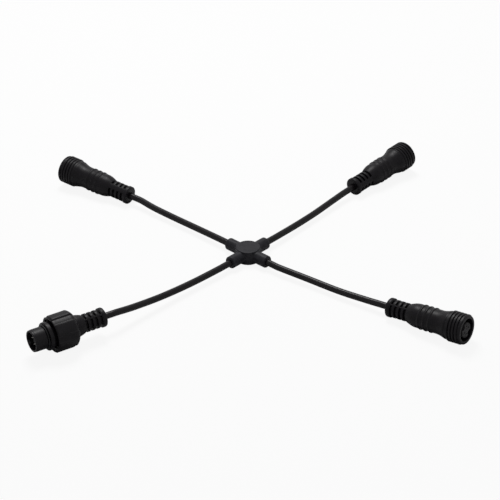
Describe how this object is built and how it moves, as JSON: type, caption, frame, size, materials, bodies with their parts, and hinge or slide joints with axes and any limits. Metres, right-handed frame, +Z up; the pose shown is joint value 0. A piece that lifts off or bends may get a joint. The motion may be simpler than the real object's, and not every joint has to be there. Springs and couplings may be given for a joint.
{
  "type": "solar cable splitter",
  "caption": "Black waterproof splitter lead: a moulded X junction joins a plug with a loose coupling nut to threaded sockets through short round cables.",
  "frame": {"origin": "middle of the junction's bottom disc, on the table", "axes": "+Z up from the table; +X to the right and +Y away from the viewer in the picture"},
  "size_m": [0.2521, 0.2305, 0.0218],
  "materials": {
    "moulded_black": "satin soft moulding",
    "hard_black": "satin hard moulding",
    "cable_jacket": "smooth, slightly glossy",
    "insert_grey": "matt moulding",
    "inner_mould": "matt moulding",
    "seal": "matt silicone",
    "brass": "turned",
    "wire_cover": "smooth"
  },
  "bodies": {
    "lead": {"junction_body": "moulded_black", "junction_core": "inner_mould", "splice_sleeves": "brass", "plug_cable": "cable_jacket", "left_cable": "cable_jacket", "right_cable": "cable_jacket", "front_cable": "cable_jacket", "left_boot": "moulded_black", "left_threaded_shell": "hard_black", "left_insert": "insert_grey", "left_contacts": "brass", "left_wires": "wire_cover", "right_boot": "moulded_black", "right_threaded_shell": "hard_black", "right_insert": "insert_grey", "right_contacts": "brass", "right_wires": "wire_cover", "front_boot": "moulded_black", "front_threaded_shell": "hard_black", "front_insert": "insert_grey", "front_contacts": "brass", "front_wires": "wire_cover", "plug_boot": "moulded_black", "plug_shell": "hard_black", "plug_insert": "insert_grey", "plug_pins": "brass", "plug_wires": "wire_cover", "sealing_ring": "seal"},
    "washer": {"slip_washer": "hard_black"},
    "nut": {"coupling_nut": "hard_black"}
  },
  "joints": [
    {"name": "nut_slide", "type": "slide", "parent": "lead", "child": "washer", "axis": [-0.8396, -0.5432, 0], "range_m": [0, 0.0105]},
    {"name": "nut_spin", "type": "hinge", "parent": "washer", "child": "nut", "pos_m": [-0.10403, -0.09412, 0.0109], "axis": [-0.8396, -0.5432, 0], "continuous": true}
  ]
}
